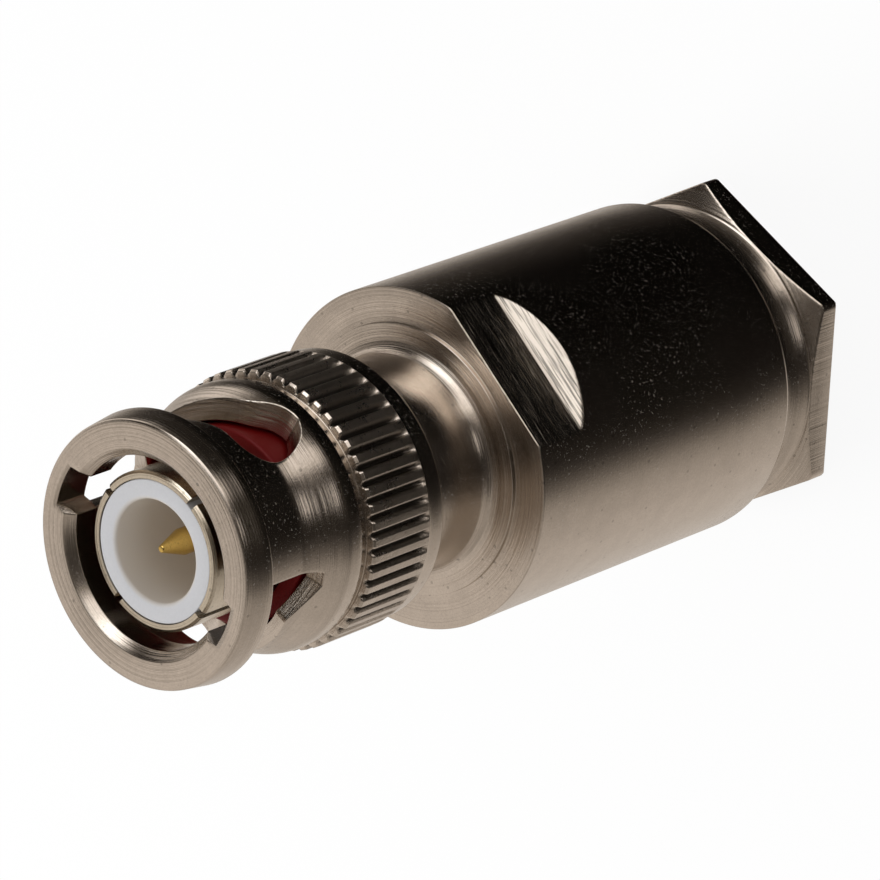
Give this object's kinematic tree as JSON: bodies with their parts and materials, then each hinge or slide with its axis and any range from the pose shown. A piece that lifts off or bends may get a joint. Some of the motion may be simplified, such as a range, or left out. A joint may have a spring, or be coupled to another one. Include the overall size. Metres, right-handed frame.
{
  "type": "bayonet coaxial cable plug",
  "caption": "Straight bayonet coaxial cable plug, clamp type, with a slotted turning coupling ring, knurled grip, thick barrel with wrench flats and a hexagonal clamp nut.",
  "frame": {"origin": "centre of the clamp nut's rear face, which the plug stands on", "axes": "+Z along the plug's axis, from the clamp nut towards the mating end; +X is the outward normal of one wrench flat"},
  "size_m": [0.0186, 0.019, 0.0445],
  "materials": {
    "nickel": "bright turned nickel plating",
    "sleeve_nickel": "bright nickel plating, slightly warm",
    "white_insulator": "turned white fluoropolymer",
    "gilt": "gold-plated",
    "red_seal": "moulded silicone",
    "black_rubber": "moulded rubber",
    "spring_steel": "bright spring strip"
  },
  "bodies": {
    "plug": {"clamp_nut": "nickel", "clamp_washer": "nickel", "cable_gasket": "black_rubber", "braid_clamp": "nickel", "plug_body": "nickel", "rear_insulator": "white_insulator", "front_insulator": "white_insulator", "centre_contact": "gilt", "contact_sleeve": "sleeve_nickel", "front_gasket": "red_seal", "snap_ring": "spring_steel", "wave_washer_rear": "spring_steel", "wave_washer_front": "spring_steel"},
    "spring_carrier": {"thrust_washer": "nickel"},
    "bayonet_ring": {"coupling_ring": "nickel"}
  },
  "joints": [
    {"name": "ring_float", "type": "slide", "parent": "plug", "child": "spring_carrier", "axis": [0, 0, 1], "range_m": [0, 0.0008], "stiffness_N_per_m": 6000, "springref_m": -0.0002, "deforming": ["wave_washer_rear", "wave_washer_front"]},
    {"name": "ring_turn", "type": "hinge", "parent": "spring_carrier", "child": "bayonet_ring", "pos_m": [0, 0, 0.0365], "axis": [0, 0, 1], "continuous": true}
  ]
}
